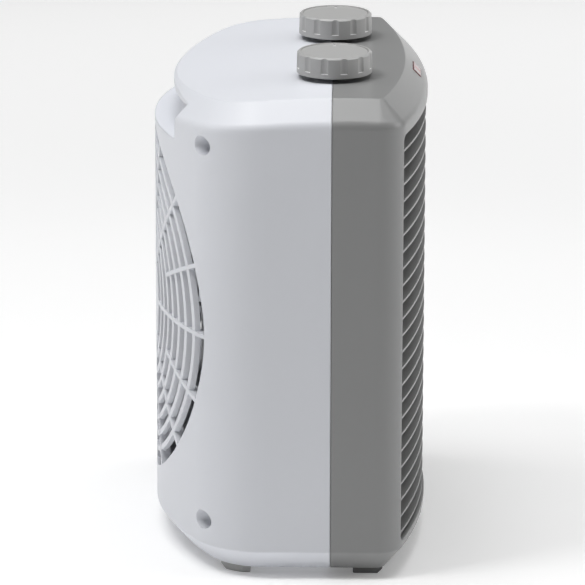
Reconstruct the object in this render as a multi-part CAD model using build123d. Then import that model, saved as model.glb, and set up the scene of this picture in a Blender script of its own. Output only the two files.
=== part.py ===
from build123d import *
import math
import os

# A small ceramic fan heater. Millimetres, +Z up, the front looks towards -Y.
# The origin is on the floor, under the middle of the casing.

# Casing, plan outline
body_width = 212.0
rear_reach = 70.0          # middle of the rear face behind the origin
front_reach = 70.0         # middle of the front face before the origin
rear_radius = 170.0        # bow of the rear face
front_radius = 382.0       # bow of the front face
rear_corner = 40.0
front_corner = 14.3
parting_y = -21.5          # plane where the two shells meet

# Casing, heights
foot_height = 3.6
top_height = 247.0         # highest line of the crowned top
crown_radius = 568.0
crown_y = -29.8
top_bevel_height = 11.1
top_bevel_width = 11.6
base_bevel_height = 10.9
base_bevel_width = 9.3
bevel_softness = 6.0       # rounding where the top bevel meets the sides
wall = 2.5
lip_height = 2.0           # tongue of the rear shell inside the front shell
lip_thickness = 1.1
lip_gap = 0.15
seam_width = 0.12          # fine groove along each shell's edge at the joint
seam_depth = 0.6

# Clearances
seat_gap = 0.3             # a fixed piece beside its neighbour
turning_gap = 0.05         # radial, round a shaft or spindle
screw_gap = 0.05           # radial, round a screw's shank

# Finger cove across the top of the rear face
cove_half_width = 64.0
cove_wall_y = 60.0         # front wall of the cove at its middle
cove_wall_radius = 220.0
cove_floor_z = 218.5
cove_radius = 8.5          # finger groove under the lip
cove_undercut = 5.5

# Intake grille in the rear face
fan_z = 123.3              # height of the fan axis and of the grille's middle
grille_radius = 92.4
grille_depth = 5.0
outer_slot = 7.4           # between the rim and the first ring
ring_count = 7
ring_pitch = 8.1
ring_bar = 2.7
ring_setback = 0.3         # the rings lie under the spokes' outer faces
ring_depth = 2.5
spoke_count = 16           # every second one is short
spoke_width = 2.1
short_spoke_slots = 5      # slots that a short spoke crosses
grille_rim = 3.0           # thick border round the outer slots

# Case screws, sunk in the rear shell
screw_x = 91.0
screw_low_z = 27.0
screw_high_z = 221.8
recess_diameter = 9.7
recess_wall = 2.0
recess_floor_y = 2.0
recess_floor = 2.5
case_screw_shank = 3.8
case_screw_head = 8.0
case_screw_head_height = 2.4
case_screw_length = 18.0
post_diameter = 9.0
post_web = 2.5

# Louvre in the front shell and its insert
louvre_half_width = 97.5
louvre_low_z = 18.0
louvre_high_z = 229.0
louvre_corner = 3.0
slat_pitch = 8.635
slat_height = 1.9          # at the root, tapering to the nose
slat_nose_height = 1.1
slat_depth = 7.5
slat_setback = 0.8
first_slat_drop = 8.35     # from the louvre's upper edge to the top slat
insert_depth = 5.4
insert_border = 3.0
rib_width = 1.6
rib_depth = 3.0
rib_x = 49.0

# Fan deck, a moulded panel with a shroud ring and the motor's carrier
deck_y = 16.0              # front face of the deck
deck_thickness = 3.0
deck_half_width = 83.0
deck_half_height = 80.0
deck_corner = 8.0
shroud_radius = 75.0
shroud_wall = 2.0
shroud_depth = 28.0
carrier_radius = 34.0
carrier_bore = 22.0
carrier_thickness = 4.0
arm_width = 12.0
deck_screw_x = 76.0
deck_screw_z = 70.0
deck_post_diameter = 8.0
deck_screw_shank = 2.9
deck_screw_head = 6.0
deck_screw_length = 12.0

# Fan
blade_count = 7
fan_tip_gap = 2.5
hub_radius = 20.0
hub_y = 27.0
hub_depth = 15.0
hub_wall = 2.0
blade_thickness = 1.6
blade_camber = 3.0
blade_root_chord = 26.0
blade_tip_chord = 38.0
blade_root_angle = 40.0
blade_tip_angle = 24.0
shaft_diameter = 5.0
shaft_front_y = -13.0
hub_boss_diameter = 12.0

# Motor, shaded pole
stack_rear_y = 14.0
stack_thickness = 16.0
stack_half_width = 30.0
stack_above = 19.0
stack_below = 50.0
stack_bore = 25.0
rotor_gap = 0.4
window_half_width = 18.0
window_top = 17.0
limb_height = 12.0
coil_half_width = 17.0
coil_build = 8.0
coil_flange = 2.0
coil_flange_lip = 1.6
coil_gap = 0.2
bracket_thickness = 2.0
bracket_rise = 7.0
bracket_height = 14.0
bracket_foot = 11.0
bearing_diameter = 9.0
bearing_length = 5.0
bearing_hub_diameter = 13.0
motor_bolt_x = 25.5
motor_bolt_diameter = 4.0
motor_bolt_head = 7.0
motor_bolt_head_height = 2.6
motor_nut_width = 7.0
motor_nut_height = 3.2
motor_bolt_clearance = 0.2

# Heating element, its frame and the baffle plate
baffle_thickness = 1.2
baffle_rear_y = -46.5
baffle_corner = 6.0
baffle_edge_gap = 1.2
element_half_width = 75.0
element_half_height = 49.0
element_depth = 22.0
frame_border = 7.0
frame_depth = 26.0
frame_lip = 1.5
fin_rows = 5
fin_pitch = 5.0
fin_strip = 2.6            # height of the folded strip, measured along Z
bar_height = 5.0
frame_screw_shank = 2.9
frame_screw_head = 5.6
frame_screw_length = 9.0
baffle_screw_head = 7.0
baffle_screw_length = 10.0
screw_head_height = 2.0
terminal_width = 6.3
terminal_thickness = 0.8
terminal_reach = 12.0
cutout_diameter = 15.0
cutout_height = 8.0
cutout_y = -36.0

# Controls under the top
knob_spacing = 90.5
knob_y = -22.3
knob_diameter = 38.0
knob_height = 10.6
knob_gap = 2.4             # under the knob, above the top
knob_draft = 1.0           # degrees
knob_edge = 0.9
knob_rim = 0.8             # raised rim round the dished top
knob_dish = 0.4
knob_shell = 1.8
knob_hub_diameter = 11.0
flute_count = 12
flute_radius = 3.4
flute_depth = 0.75
flute_floor = 2.3          # plain rim under the flutes
pointer_width = 1.2
pointer_length = 5.0
pointer_depth = 0.4
spindle_diameter = 6.0
spindle_flat = 1.4
spindle_hole = 9.0
bushing_diameter = 9.0
bushing_height = 3.8
control_plate_thickness = 1.5
control_plate_z = 236.5
control_plate_half_width = 80.0
control_plate_lip = 6.0
control_body_size = 32.0
control_body_height = 20.0
control_body_corner = 3.0
spindle_socket = 8.0       # depth of the spindle in the control's body
spindle_nut_width = 12.0
spindle_nut_height = 2.2
control_post_x = 72.0
control_post_y = -32.0
control_post_diameter = 7.0
control_screw_shank = 2.9
control_screw_head = 5.6
control_screw_length = 5.0
tab_length = 8.0

# Pilot lens in the front bevel and its lamp
lens_width = 18.5
lens_height = 5.8
lens_up = 8.0              # from the bevel's lower edge to the lens's middle
lens_gap = 0.15
lens_flange = 1.2
lens_flange_lip = 1.5
lens_proud = 0.3
lamp_diameter = 5.0
lamp_length = 13.0
lamp_socket = 4.0

# Feet
foot_x = 94.5              # outer side
foot_width = 22.0
rear_foot_y = 26.4
front_foot_y = -40.5
foot_length = 15.0
foot_corner = 1.2
foot_stud = 5.0
foot_stud_length = 5.0
foot_nose = 2.5

# Cord bush, clamp and terminal block
bush_x = 62.0
bush_z = 24.0
bush_bore = 7.2
bush_neck = 10.0
bush_flange = 14.0
bush_flange_height = 2.0
bush_seat = 4.0            # thickness of the wall that the bush grips
bush_boss_diameter = 19.0
clamp_y = 38.0
clamp_span = 18.0
clamp_width = 8.0
clamp_height = 4.0
clamp_post_height = 7.0
clamp_post_diameter = 7.0
clamp_screw_length = 9.0
block_x = 30.0
block_y = 8.0
block_length = 36.0
block_width = 17.0
block_height = 15.0
block_hole = 5.0
block_slot = 1.2
block_slot_depth = 5.0

# Sizes that follow from the ones above
far = 600.0
inner_base = foot_height + wall
rear_centre_y = rear_reach - rear_radius
front_centre_y = front_radius - front_reach
fan_radius = shroud_radius - fan_tip_gap
deck_back = deck_y + deck_thickness
stack_front_y = stack_rear_y - stack_thickness
baffle_front_y = baffle_rear_y - baffle_thickness
screw_heights = (screw_low_z, screw_high_z)
recess_outer = recess_diameter + 2 * recess_wall
post_top_y = recess_floor_y - recess_floor
control_plate_front = control_body_size / 2 + control_body_corner
control_plate_back = control_plate_front + control_plate_thickness
first_ring_radius = grille_radius - outer_slot
grille_boss_radius = first_ring_radius - ring_count * ring_pitch


def crown_height(y):
    """Height of the crowned top at a given y."""
    return top_height - crown_radius + math.sqrt(crown_radius ** 2 - (y - crown_y) ** 2)


knob_base_z = crown_height(knob_y) + knob_gap
knob_top_z = knob_base_z + knob_height


def plan_outline(inset):
    """The casing's outline seen from above, drawn in by inset."""
    half = body_width / 2 - inset
    rear = Pos(0, rear_centre_y) * Circle(rear_radius - inset)
    front = Pos(0, front_centre_y) * Circle(front_radius - inset)
    outline = Rectangle(2 * half, 4 * half) & rear & front
    outline = fillet(outline.vertices().sort_by(Axis.Y)[-2:], rear_corner - inset)
    return fillet(outline.vertices().sort_by(Axis.Y)[:2], front_corner - inset)


def casing_form(inset):
    """The casing as one solid: bowed sides, crowned top, bevels above and below."""
    low = foot_height + inset
    form = extrude(Pos(0, 0, low) * plan_outline(inset), top_height - low + wall)
    crown = Cylinder(crown_radius - inset, 2 * body_width)
    form &= Pos(0, crown_y, top_height - crown_radius) * Rot(0, 90, 0) * crown
    ease = inset * (2 - math.sqrt(2))
    base = form.faces().sort_by(Axis.Z)[0]
    form = chamfer(base.edges(), base_bevel_width - ease, base_bevel_height - ease, reference=base)
    top = form.faces().sort_by(Axis.Z)[-1]
    return chamfer(top.edges(), top_bevel_width - ease, top_bevel_height - ease, reference=top)


def soften_top_bevel(form):
    """Round the edge where the top bevel meets the sides."""
    lowest = crown_height(rear_reach) - top_bevel_height - 1
    highest = top_height - top_bevel_height + 1
    edges = [
        edge for edge in form.edges()
        if lowest < edge.center().Z < highest and edge.bounding_box().size.Z < top_bevel_height - 3
    ]
    return fillet(edges, bevel_softness)


def along_y(x, z, y_from, y_to, diameter):
    """A round bar that lies along Y."""
    length = y_to - y_from
    bar = Cylinder(diameter / 2, length, align=(Align.CENTER, Align.CENTER, Align.MIN))
    return Pos(x, y_from, z) * Rot(-90, 0, 0) * bar


def upright(x, y, z_from, z_to, diameter):
    """A round bar that stands along Z."""
    bar = Cylinder(diameter / 2, z_to - z_from, align=(Align.CENTER, Align.CENTER, Align.MIN))
    return Pos(x, y, z_from) * bar


def block(x_from, x_to, y_from, y_to, z_from, z_to):
    """A box between two corners."""
    size = (x_to - x_from, y_to - y_from, z_to - z_from)
    corner = Box(*size, align=(Align.MIN, Align.MIN, Align.MIN))
    return Pos(x_from, y_from, z_from) * corner


def all_of(pieces):
    """Join a list of solids into one."""
    joined = pieces[0]
    for piece in pieces[1:]:
        joined += piece
    return joined


def save(shape, name):
    """Write one sub-part."""
    export_step(shape, f"parts/{name}.step")


def behind(y):
    """Everything behind the plane at y."""
    return block(-far, far, y, far, -far, far)


def cove_form(grow):
    """The finger cove: flat floor, round groove under a lip, bowed front wall."""
    floor_z = cove_floor_z - grow
    radius = cove_radius + grow
    centre_r = cove_wall_radius - cove_undercut + cove_radius
    centre_z = cove_floor_z + cove_radius
    wall_r = cove_wall_radius - grow
    lip_z = centre_z + math.sqrt(radius ** 2 - (centre_r - wall_r) ** 2)
    outside = cove_wall_radius + 3 * cove_radius
    above = top_height + wall
    section = Polyline(
        (centre_r, floor_z), (outside, floor_z), (outside, above), (wall_r, above), (wall_r, lip_z)
    )
    groove = ThreePointArc((wall_r, lip_z), (centre_r - radius, centre_z), (centre_r, floor_z))
    profile = Plane.XZ * make_face(section + groove)
    axis_y = cove_wall_y - cove_wall_radius
    form = Pos(0, axis_y, 0) * revolve(profile, Axis.Z, 360)
    half = cove_half_width + grow
    return form & block(-half, half, 0, far, 0, far)


def grille_face(sketch):
    """Push a sketch round the grille's middle out through the rear face."""
    face = Plane((0, 0, fan_z), x_dir=(1, 0, 0), z_dir=(0, 1, 0)) * sketch
    return extrude(face, rear_reach + wall)


def ring_radii():
    """Outer radius of each ring of the grille."""
    return [first_ring_radius - ring_pitch * index for index in range(ring_count)]


def grille_spokes():
    """Long spokes across the whole grille, with short ones between them from the rim inwards."""
    half_count = spoke_count // 2
    step = 360 / half_count
    short_end = ring_radii()[short_spoke_slots - 1] - ring_bar / 2
    short_middle = (short_end + grille_radius + grille_rim) / 2
    short = Rectangle(grille_radius + grille_rim - short_end, spoke_width)
    spokes = []
    for turn in range(half_count):
        if turn < half_count // 2:
            spokes.append(Rot(0, 0, turn * step) * Rectangle(3 * grille_radius, spoke_width))
        spokes.append(Rot(0, 0, (turn + 0.5) * step) * Pos(short_middle, 0) * short)
    return spokes


def grille_sectors():
    """The open sectors between the spokes, from the boss to the rim."""
    sectors = Circle(grille_radius) - Circle(grille_boss_radius)
    for spoke in grille_spokes():
        sectors -= spoke
    return grille_face(sectors)


def grille_rings():
    """The rings, a little thinner than the spokes that carry them on both sides."""
    outer_face = upright(0, rear_centre_y, 0, top_height, 2 * (rear_radius - ring_setback))
    inner_face = upright(0, rear_centre_y, 0, top_height, 2 * (rear_radius - ring_setback - ring_depth))
    rings = []
    for radius in ring_radii():
        ring = grille_face(Circle(radius) - Circle(radius - ring_bar))
        rings.append((ring & outer_face) - inner_face)
    return rings


def rear_void(inner):
    """The hollow inside the rear shell, kept clear of the cove and the grille's thick disc."""
    disc = along_y(0, fan_z, 0, far, 2 * (grille_radius + grille_rim))
    disc -= upright(0, rear_centre_y, 0, far, 2 * (rear_radius - grille_depth))
    return inner - cove_form(wall) - disc


def bush_seat_y():
    """Outer face of the wall that the cord bush grips."""
    slope_y = rear_centre_y + math.sqrt(rear_radius ** 2 - (bush_x + bush_flange / 2) ** 2)
    return slope_y - seat_gap


def spindle_holes():
    """Holes in the top for the two control spindles."""
    low = control_plate_z + control_plate_thickness
    holes = [upright(side * knob_spacing / 2, knob_y, low, far, spindle_hole) for side in (-1, 1)]
    return all_of(holes)


def foot_places():
    """Middle of each foot's stud, as side, x and y."""
    return [
        (side, side * (foot_x - foot_width / 2), y)
        for side in (-1, 1) for y in (rear_foot_y, front_foot_y)
    ]


def foot_holes():
    """Holes in the base for the feet's studs."""
    size = foot_stud + 2 * screw_gap
    return all_of([upright(x, y, 0, inner_base + wall, size) for _, x, y in foot_places()])


def joint_ring(y_from, y_to, outer_inset, inner_inset):
    """A ring just inside the casing's skin, between two planes across the joint."""
    slab = block(-far, far, y_from, y_to, -far, far)
    return (casing_form(outer_inset) & slab) - casing_form(inner_inset)


def joint_seam(y_from, y_to):
    """A fine groove round the outside of the joint."""
    return block(-far, far, y_from, y_to, -far, far) - casing_form(seam_depth)


def make_rear_shell(outer, inner):
    rear = behind(parting_y)
    shell = (outer & rear) - rear_void(inner) - cove_form(0) - grille_sectors()
    shell += grille_rings()
    skin = wall - lip_thickness
    shell += joint_ring(parting_y - lip_height, parting_y + wall, skin + lip_gap, wall + lip_gap)
    shell -= joint_seam(parting_y, parting_y + seam_width)
    for x in (-screw_x, screw_x):
        for z in screw_heights:
            shell += along_y(x, z, post_top_y, far, recess_outer) & outer
            shell -= along_y(x, z, recess_floor_y, far, recess_diameter)
            shell -= along_y(x, z, -far, far, case_screw_shank + 2 * screw_gap)
    pilot = deck_screw_shank + 2 * screw_gap
    for x in (-deck_screw_x, deck_screw_x):
        for z in (fan_z - deck_screw_z, fan_z + deck_screw_z):
            shell += along_y(x, z, deck_back, far, deck_post_diameter) & outer
            shell -= along_y(x, z, deck_back, deck_back + deck_screw_length, pilot)
    seat_y = bush_seat_y()
    shell += along_y(bush_x, bush_z, seat_y - bush_seat, far, bush_boss_diameter) & outer
    shell -= along_y(bush_x, bush_z, seat_y, far, bush_flange + 2 * seat_gap)
    shell -= along_y(bush_x, bush_z, 0, far, bush_neck + 2 * screw_gap)
    for side in (-1, 1):
        x = bush_x + side * clamp_span / 2
        post_top = inner_base + clamp_post_height
        shell += upright(x, clamp_y, inner_base - wall / 2, post_top, clamp_post_diameter)
        shell -= upright(x, clamp_y, inner_base, bush_z, deck_screw_shank + 2 * screw_gap)
    shell -= spindle_holes()
    shell -= foot_holes()
    return shell


def bevel_plane():
    """A plane on the front bevel at the pilot lens: x across, y up the slope."""
    low_y = -front_reach
    low_z = crown_height(low_y) - top_bevel_height
    high_y = low_y + top_bevel_width
    high_z = crown_height(high_y)
    run = math.hypot(high_y - low_y, high_z - low_z)
    up_y = (high_y - low_y) / run
    up_z = (high_z - low_z) / run
    middle = (0, low_y + lens_up * up_y, low_z + lens_up * up_z)
    return Plane(middle, x_dir=(1, 0, 0), z_dir=(0, -up_z, up_y))


def lens_window():
    """Hole through the bevel for the pilot lens."""
    size = (lens_width + 2 * lens_gap, lens_height + 2 * lens_gap)
    return bevel_plane() * extrude(Rectangle(*size), wall, both=True)


def make_front_shell(outer, inner):
    front = block(-far, far, -far, parting_y, -far, far)
    shell = (outer & front) - inner
    opening = RectangleRounded(
        2 * louvre_half_width, louvre_high_z - louvre_low_z, louvre_corner
    )
    middle_z = (louvre_high_z + louvre_low_z) / 2
    opening = Plane((0, 0, middle_z), x_dir=(1, 0, 0), z_dir=(0, -1, 0)) * opening
    shell -= extrude(opening, far)
    for side in (-1, 1):
        for z in screw_heights:
            x = side * screw_x
            wall_x = side * (body_width / 2 - wall / 2)
            low, high = sorted((x, wall_x))
            shell += along_y(x, z, baffle_rear_y, post_top_y, post_diameter)
            shell += block(
                low, high, baffle_rear_y + wall, parting_y, z - post_web / 2, z + post_web / 2
            )
            rear_hole = post_top_y - case_screw_length
            shell -= along_y(x, z, rear_hole, post_top_y, case_screw_shank + 2 * screw_gap)
            front_hole = baffle_rear_y + baffle_screw_length
            shell -= along_y(x, z, baffle_rear_y, front_hole, frame_screw_shank + 2 * screw_gap)
        plate_top = control_plate_z + control_plate_thickness
        roof = crown_height(control_post_y) - wall / 2
        x = side * control_post_x
        shell += upright(x, control_post_y, plate_top, roof, control_post_diameter)
        pilot = control_screw_shank + 2 * screw_gap
        shell -= upright(x, control_post_y, plate_top, plate_top + control_screw_length, pilot)
    shell -= lens_window()
    skin = wall - lip_thickness
    groove_y = parting_y - lip_height - lip_gap
    shell -= joint_ring(groove_y, parting_y, skin, wall + lip_gap + seat_gap)
    shell -= joint_seam(parting_y - seam_width, parting_y)
    shell -= spindle_holes()
    shell -= foot_holes()
    return shell


def bowed_band(outer_r, inner_r, half_width, z_from, z_to):
    """A strip that follows the front's bow."""
    ring = Pos(0, front_centre_y) * (Circle(outer_r) - Circle(inner_r))
    band = extrude(Pos(0, 0, z_from) * ring, z_to - z_from)
    return band & block(-half_width, half_width, -far, 0, z_from, z_to)


def make_front_grille():
    face_r = front_radius - slat_setback
    frame_r = front_radius - wall - seat_gap
    rear_r = frame_r - insert_depth
    half = louvre_half_width + insert_border
    low = louvre_low_z - insert_border
    high = louvre_high_z + insert_border
    grille = bowed_band(frame_r, rear_r, half, low, high)
    gap = insert_border + 1
    grille -= bowed_band(frame_r, rear_r, half - gap, low + gap, high - gap)
    grille &= casing_form(wall + seat_gap)
    for x in (-rib_x, 0, rib_x):
        rib = bowed_band(rear_r + rib_depth, rear_r, rib_x + rib_width, low + 1, high - 1)
        grille += rib & block(x - rib_width / 2, x + rib_width / 2, -far, 0, low, high)
    root = slat_height / 2
    nose = slat_nose_height / 2
    profile = Polyline(
        (face_r - slat_depth, -root), (face_r, -nose), (face_r, nose), (face_r - slat_depth, root),
        close=True,
    )
    slat = revolve(Plane.XZ * make_face(profile), Axis.Z, 360)
    reach = louvre_half_width - seat_gap
    slat = (Pos(0, front_centre_y, 0) * slat) & block(-reach, reach, -far, 0, -slat_height, slat_height)
    z = louvre_high_z - first_slat_drop
    while z > louvre_low_z + slat_height:
        grille += Pos(0, 0, z) * slat
        z -= slat_pitch
    return grille


def knob_centre(side):
    return side * knob_spacing / 2, knob_y


def spindle_section(diameter):
    """A round section with one flat, towards the rear."""
    keep = Rectangle(2 * diameter, 2 * diameter)
    return Circle(diameter / 2) & (Pos(0, -diameter / 2 - spindle_flat) * keep)


def make_knob(side, flute_phase):
    """A fluted cap with a dished top and a hub that takes the flatted spindle."""
    x, y = knob_centre(side)
    radius = knob_diameter / 2
    lean = knob_height * math.tan(math.radians(knob_draft))
    inner_r = radius - knob_shell
    ceiling = knob_height - knob_shell
    rim_r = radius - lean - knob_edge
    dish_r = rim_r - knob_rim
    dish_z = knob_height - knob_dish
    profile = Polyline(
        (0, ceiling), (inner_r - lean, ceiling), (inner_r, 0), (radius, 0),
        (radius - lean, knob_height - knob_edge), (rim_r, knob_height), (dish_r, knob_height),
        (dish_r - knob_dish, dish_z), (0, dish_z), close=True,
    )
    cap = revolve(Plane.XZ * make_face(profile), Axis.Z, 360)
    cap += extrude(Circle(knob_hub_diameter / 2), knob_height - knob_shell / 2)
    socket = extrude(spindle_section(spindle_diameter + 2 * screw_gap), knob_height - 2 * knob_shell)
    cap -= socket
    flute = Pos(radius + flute_radius - flute_depth, 0, flute_floor) * Cylinder(
        flute_radius, knob_height, align=(Align.CENTER, Align.CENTER, Align.MIN)
    )
    for turn in range(flute_count):
        cap -= Rot(0, 0, (turn + flute_phase) * 360 / flute_count) * flute
    pointer_end = dish_r - 2 * knob_dish
    cap -= block(
        pointer_end - pointer_length, pointer_end, -pointer_width / 2, pointer_width / 2,
        dish_z - pointer_depth, knob_height + wall,
    )
    return Pos(x, y, knob_base_z) * cap


def make_spindle(side):
    """The flatted spindle from the control's body up into the knob."""
    x, y = knob_centre(side)
    low = control_plate_z - spindle_socket
    flat_from = knob_base_z - knob_gap / 2
    top = knob_top_z - 2 * knob_shell - seat_gap
    spindle = upright(0, 0, low, flat_from, spindle_diameter)
    spindle += extrude(Pos(0, 0, flat_from) * spindle_section(spindle_diameter), top - flat_from)
    return Pos(x, y, 0) * spindle


def make_control_body(side, height, tabs):
    """A control's moulded body with its threaded bushing and terminal tabs."""
    x, y = knob_centre(side)
    base = control_plate_z - height
    outline = RectangleRounded(control_body_size, control_body_size, control_body_corner)
    body = extrude(Pos(0, 0, base) * outline, height)
    bushing_top = control_plate_z + control_plate_thickness + bushing_height
    body += upright(0, 0, control_plate_z, bushing_top, bushing_diameter)
    socket_floor = control_plate_z - spindle_socket - seat_gap
    body -= upright(0, 0, socket_floor, far, spindle_diameter + 2 * turning_gap)
    for index in range(tabs):
        offset = (index - (tabs - 1) / 2) * control_body_size / (tabs + 1)
        body += block(
            offset - terminal_thickness / 2, offset + terminal_thickness / 2,
            -terminal_width / 2, terminal_width / 2, base - tab_length, base + 1,
        )
    return Pos(x, y, 0) * body


def make_control_plate():
    """The steel plate that carries both controls."""
    half = control_plate_half_width
    plate = block(
        -half, half, knob_y - control_plate_front, knob_y + control_plate_back,
        control_plate_z, control_plate_z + control_plate_thickness,
    )
    plate = fillet(plate.edges().filter_by(Axis.Z), control_body_corner)
    lip_z = control_plate_z - control_plate_lip
    back = knob_y + control_plate_back
    plate += block(
        -half + control_body_corner, half - control_body_corner,
        back - control_plate_thickness, back, lip_z, control_plate_z + control_plate_thickness / 2,
    )
    for side in (-1, 1):
        x, y = knob_centre(side)
        plate -= upright(x, y, 0, far, bushing_diameter + 2 * screw_gap)
        hole = control_screw_shank + 2 * screw_gap
        plate -= upright(side * control_post_x, control_post_y, 0, far, hole)
    return plate


def make_spindle_nuts():
    nuts = []
    for side in (-1, 1):
        x, y = knob_centre(side)
        low = control_plate_z + control_plate_thickness
        hexagon = RegularPolygon(spindle_nut_width / 2, 6, major_radius=False)
        nut = hexagon - Circle(bushing_diameter / 2 + screw_gap)
        nuts.append(Pos(x, y, low) * extrude(nut, spindle_nut_height))
    return Compound(children=nuts)


def screw_along_y(x, z, seat_y, direction, shank, length, head, head_height):
    """A pan-head screw: direction is +1 where its point looks towards +Y."""
    tip = seat_y + direction * length
    low, high = sorted((seat_y, tip))
    screw = along_y(x, z, low, high, shank)
    low, high = sorted((seat_y, seat_y - direction * head_height))
    cap = along_y(x, z, low, high, head)
    outer_face = cap.faces().sort_by(Axis.Y)[0 if direction > 0 else -1]
    cap = chamfer(outer_face.edges(), head_height / 3)
    return screw + cap


def make_case_screws():
    return Compound(children=[
        screw_along_y(
            x, z, recess_floor_y, -1, case_screw_shank, case_screw_length,
            case_screw_head, case_screw_head_height,
        )
        for x in (-screw_x, screw_x) for z in screw_heights
    ])


def make_deck_screws():
    return Compound(children=[
        screw_along_y(
            x, fan_z + z, deck_y, 1, deck_screw_shank, deck_screw_length,
            deck_screw_head, screw_head_height,
        )
        for x in (-deck_screw_x, deck_screw_x) for z in (-deck_screw_z, deck_screw_z)
    ])


def make_baffle_screws():
    return Compound(children=[
        screw_along_y(
            x, z, baffle_front_y, 1, frame_screw_shank, baffle_screw_length,
            baffle_screw_head, screw_head_height,
        )
        for x in (-screw_x, screw_x) for z in screw_heights
    ])


def frame_screw_places():
    x = element_half_width + frame_border / 2
    z = element_half_height * 2 / 3
    return [(side * x, fan_z + up * z) for side in (-1, 1) for up in (-1, 1)]


def make_frame_screws():
    return Compound(children=[
        screw_along_y(
            x, z, baffle_front_y, 1, frame_screw_shank, frame_screw_length,
            frame_screw_head, screw_head_height,
        )
        for x, z in frame_screw_places()
    ])


def make_control_screws():
    screws = []
    for side in (-1, 1):
        x = side * control_post_x
        top = control_plate_z + control_plate_thickness + control_screw_length - seat_gap
        screw = upright(x, control_post_y, control_plate_z, top, control_screw_shank)
        low = control_plate_z - screw_head_height
        screws.append(screw + upright(x, control_post_y, low, control_plate_z, control_screw_head))
    return Compound(children=screws)


def make_fan_deck():
    """The panel behind the motor with the fan's shroud ring and the motor's carrier."""
    panel = RectangleRounded(2 * deck_half_width, 2 * deck_half_height, deck_corner)
    face = Plane((0, deck_y, fan_z), x_dir=(1, 0, 0), z_dir=(0, 1, 0))
    deck = extrude(face * (panel - Circle(shroud_radius)), deck_thickness)
    ring = Circle(shroud_radius + shroud_wall) - Circle(shroud_radius)
    deck += extrude(face * ring, shroud_depth)
    carrier = Circle(carrier_radius) - Circle(carrier_bore)
    lower = Pos(0, carrier_radius) * Rectangle(3 * carrier_radius, 2 * carrier_radius)
    lower = Pos(0, arm_width / 2) * lower
    side_arm = Rectangle(2 * shroud_radius + shroud_wall, arm_width)
    top_arm = Pos(0, -shroud_radius / 2) * Rectangle(arm_width, shroud_radius + shroud_wall)
    arms = (carrier - lower) + (side_arm + top_arm - Circle((carrier_radius + carrier_bore) / 2))
    deck += extrude(face * arms, carrier_thickness)
    for x in (-motor_bolt_x, motor_bolt_x):
        deck -= along_y(x, fan_z, 0, far, motor_bolt_diameter + 2 * motor_bolt_clearance)
    for x in (-deck_screw_x, deck_screw_x):
        for z in (fan_z - deck_screw_z, fan_z + deck_screw_z):
            deck -= along_y(x, z, 0, far, deck_screw_shank + 2 * screw_gap)
    return deck


def blade_section(radius, chord, angle):
    """One cambered blade section on a plane square to the blade's length."""
    pitch = math.radians(angle)
    half = chord / 2
    thin = blade_thickness / 2
    upper = ThreePointArc((-half, thin), (0, blade_camber + thin), (half, thin))
    lower = ThreePointArc((half, -thin), (0, blade_camber - thin), (-half, -thin))
    ends = [Line((half, thin), (half, -thin)), Line((-half, -thin), (-half, thin))]
    centre_y = hub_y + hub_depth / 2
    plane = Plane(
        (radius, centre_y, 0), x_dir=(0, math.sin(pitch), math.cos(pitch)), z_dir=(1, 0, 0)
    )
    return plane * make_face([upper, ends[0], lower, ends[1]])


def make_fan_impeller():
    """A cup-shaped hub with twisted blades, trimmed to the shroud."""
    root = blade_section(hub_radius - hub_wall, blade_root_chord, blade_root_angle)
    tip = blade_section(fan_radius + 2, blade_tip_chord, blade_tip_angle)
    blade = loft([root, tip], ruled=True)
    blade &= along_y(0, 0, 0, far, 2 * fan_radius)
    blade -= along_y(0, 0, 0, far, 2 * (hub_radius - hub_wall / 2))
    hub = along_y(0, 0, hub_y, hub_y + hub_depth, 2 * hub_radius)
    rear_face = hub.faces().sort_by(Axis.Y)[-1]
    hub = chamfer(rear_face.edges(), hub_wall)
    hub -= along_y(0, 0, hub_y, hub_y + hub_depth - hub_wall, 2 * (hub_radius - hub_wall))
    hub += along_y(0, 0, hub_y, hub_y + hub_depth, hub_boss_diameter)
    for turn in range(blade_count):
        hub += Rot(0, turn * 360 / blade_count, 0) * blade
    hub -= along_y(0, 0, hub_y, hub_y + hub_depth - hub_wall, shaft_diameter + 2 * turning_gap)
    return Pos(0, 0, fan_z) * hub


def make_motor_shaft():
    end = hub_y + hub_depth - hub_wall - seat_gap
    return along_y(0, fan_z, shaft_front_y, end, shaft_diameter)


def make_motor_rotor():
    """The rotor pack with its end rings."""
    rotor = along_y(0, fan_z, stack_front_y, stack_rear_y, stack_bore - 2 * rotor_gap)
    ring = along_y(0, fan_z, stack_front_y - 1, stack_rear_y + 1, stack_bore - 6 * rotor_gap - 2)
    rotor += ring
    return rotor - along_y(0, fan_z, -far, far, shaft_diameter + 2 * screw_gap)


def make_motor_stack():
    """Laminated core: rotor bore above, coil limb below."""
    face = Plane((0, stack_front_y, fan_z), x_dir=(1, 0, 0), z_dir=(0, 1, 0))
    middle = (stack_below - stack_above) / 2
    outline = Pos(0, middle) * RectangleRounded(2 * stack_half_width, stack_above + stack_below, 3)
    window_bottom = stack_below - limb_height
    window_middle = (window_top + window_bottom) / 2
    window = Pos(0, window_middle) * Rectangle(2 * window_half_width, window_bottom - window_top)
    core = outline - Circle(stack_bore / 2) - window
    for x in (-motor_bolt_x, motor_bolt_x):
        core -= Pos(x, 0) * Circle(motor_bolt_diameter / 2 + motor_bolt_clearance)
    return extrude(face * core, stack_thickness)


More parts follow.
